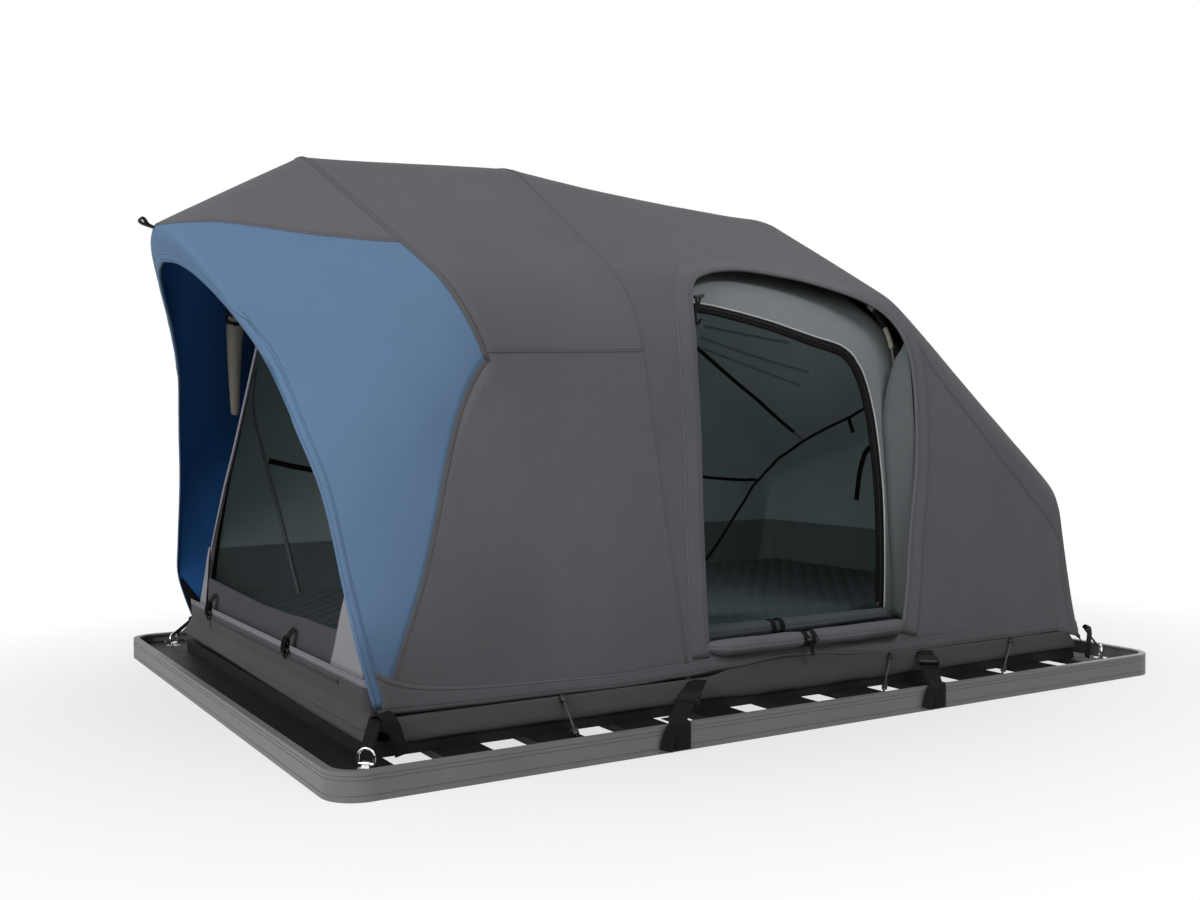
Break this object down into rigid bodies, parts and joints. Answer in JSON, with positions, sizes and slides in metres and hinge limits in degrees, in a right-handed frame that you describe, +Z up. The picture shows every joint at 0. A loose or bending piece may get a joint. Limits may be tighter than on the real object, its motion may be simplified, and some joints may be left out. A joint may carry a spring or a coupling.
{
  "type": "roof top tent",
  "caption": "Roof top tent: hooped fly with awning over a sleeping room, quilted bed and floor tub, strapped to a slatted rail tray; the hoops fold down over the bed.",
  "frame": {"origin": "centre of the tray's underside, midway between its rails", "axes": "+X towards the tail end, -X towards the awning; -Y is the side with the open door; +Z up"},
  "size_m": [2.2921, 1.6346, 1.2519],
  "materials": {
    "rail": "satin grey powder coat",
    "slat": "matt black powder coat",
    "steel": "plain steel",
    "base": "matt black",
    "tub": "coated grey cloth",
    "binding": "light grey tape",
    "zip": "black zip",
    "mattress": "quilted teal cloth",
    "black_plastic": "moulded black",
    "pole": "black tube",
    "alloy": "machined",
    "sleeve": "sand cloth",
    "fly": "warm grey coated cloth",
    "awning": "blue coated cloth",
    "room": "pale green grey cloth",
    "roll": "grey rolled cloth",
    "teal_roll": "teal rolled cloth",
    "dark_cloth": "dark grey cloth",
    "webbing": "black webbing",
    "chrome": "plated wire"
  },
  "bodies": {
    "tray": {"near_side_rail": "rail", "far_side_rail": "rail", "front_rail": "rail", "rear_rail": "rail", "corner_pieces": "rail", "cross_slats": "slat", "slat_bolts": "steel", "base_panel": "base", "floor_tub": "tub", "sill_binding": "binding", "sill_zip": "zip", "mattress": "mattress", "hoop_brackets": "black_plastic", "hinge_pins": "steel", "fly_main": "fly", "fly_front": "fly", "fly_awning": "awning", "peak_tab": "webbing", "inner_canopy": "room", "door_zip": "zip", "fly_door_roll": "roll", "inner_door_roll": "teal_roll", "front_door_panel": "dark_cloth", "front_flap_roll": "sleeve", "door_toggles": "black_plastic", "side_straps": "webbing", "buckle_bodies": "black_plastic", "cam_bodies": "black_plastic", "corner_straps": "webbing", "ring_clips": "steel", "hem_cords": "webbing"},
    "front_hoop_frame": {"front_hoop": "pole", "front_hoop_feet": "alloy", "front_hub": "black_plastic", "front_sleeves": "sleeve"},
    "brow": {"brow_pole": "pole", "brow_tip": "alloy"},
    "mid_hoop_frame": {"mid_hoop": "pole", "mid_hoop_feet": "alloy"},
    "rear_hoop_frame": {"rear_hoop": "pole", "rear_hoop_feet": "alloy", "rear_sleeves": "sleeve"},
    "tail_hoop_frame": {"tail_hoop": "pole", "tail_hoop_feet": "alloy"},
    "slider": {"zip_slider": "steel"},
    "near_clip_tongue": {"near_tongue": "black_plastic"},
    "far_clip_tongue": {"far_tongue": "black_plastic"},
    "near_lever": {"near_cam_lever": "black_plastic"},
    "far_lever": {"far_cam_lever": "black_plastic"},
    "ring_nf": {"near_front_ring": "chrome"},
    "ring_ff": {"far_front_ring": "chrome"},
    "ring_nr": {"near_rear_ring": "chrome"},
    "ring_fr": {"far_rear_ring": "chrome"}
  },
  "joints": [
    {"name": "front_hoop_fold", "type": "hinge", "parent": "tray", "child": "front_hoop_frame", "pos_m": [-0.429, 0, 0.08], "axis": [0, 1, 0], "range_deg": [0, 99], "deforming": ["fly_main", "fly_front", "fly_awning", "inner_canopy", "door_zip", "peak_tab", "front_flap_roll", "inner_door_roll"]},
    {"name": "mid_hoop_fold", "type": "hinge", "parent": "tray", "child": "mid_hoop_frame", "pos_m": [-0.253, 0, 0.08], "axis": [0, 1, 0], "range_deg": [0, 83.5]},
    {"name": "rear_hoop_fold", "type": "hinge", "parent": "tray", "child": "rear_hoop_frame", "pos_m": [0.445, 0, 0.08], "axis": [0, -1, 0], "range_deg": [0, 72]},
    {"name": "tail_hoop_fold", "type": "hinge", "parent": "tray", "child": "tail_hoop_frame", "pos_m": [0.894, 0, 0.08], "axis": [0, -1, 0], "range_deg": [0, 82]},
    {"name": "brow_fold", "type": "hinge", "parent": "front_hoop_frame", "child": "brow", "pos_m": [-0.88609, 0, 1.20379], "axis": [0, -1, 0], "range_deg": [0, 66]},
    {"name": "zip_slide", "type": "slide", "parent": "tray", "child": "slider", "axis": [0, -1, 0], "range_m": [0, 0.86]},
    {"name": "near_tongue_pull", "type": "slide", "parent": "tray", "child": "near_clip_tongue", "axis": [0.7247, 0.6625, 0.1894], "range_m": [0, 0.0175]},
    {"name": "far_tongue_pull", "type": "slide", "parent": "tray", "child": "far_clip_tongue", "axis": [0.7247, -0.6625, 0.1894], "range_m": [0, 0.0175]},
    {"name": "near_cam_lift", "type": "hinge", "parent": "tray", "child": "near_lever", "pos_m": [0.3668, -0.7261, 0.08444], "axis": [0.7731, -0.6342, 0], "range_deg": [0, 75]},
    {"name": "far_cam_lift", "type": "hinge", "parent": "tray", "child": "far_lever", "pos_m": [0.3668, 0.7261, 0.08444], "axis": [-0.7731, -0.6342, 0], "range_deg": [0, 75]},
    {"name": "near_front_ring_swing", "type": "hinge", "parent": "tray", "child": "ring_nf", "pos_m": [-0.985, -0.714, 0.0362], "axis": [0.7071, -0.7071, 0], "range_deg": [0, 80]},
    {"name": "far_front_ring_swing", "type": "hinge", "parent": "tray", "child": "ring_ff", "pos_m": [-0.985, 0.714, 0.0362], "axis": [-0.7071, -0.7071, 0], "range_deg": [0, 80]},
    {"name": "near_rear_ring_swing", "type": "hinge", "parent": "tray", "child": "ring_nr", "pos_m": [0.994, -0.714, 0.0362], "axis": [0.7071, 0.7071, 0], "range_deg": [0, 80]},
    {"name": "far_rear_ring_swing", "type": "hinge", "parent": "tray", "child": "ring_fr", "pos_m": [0.994, 0.714, 0.0362], "axis": [-0.7071, 0.7071, 0], "range_deg": [0, 80]}
  ],
  "couplings": [
    {"joint": "mid_hoop_fold", "follows": "front_hoop_fold", "ratio": 0.84343},
    {"joint": "rear_hoop_fold", "follows": "front_hoop_fold", "ratio": 0.72727},
    {"joint": "tail_hoop_fold", "follows": "front_hoop_fold", "ratio": 0.82828},
    {"joint": "brow_fold", "follows": "front_hoop_fold", "ratio": 0.66667}
  ]
}
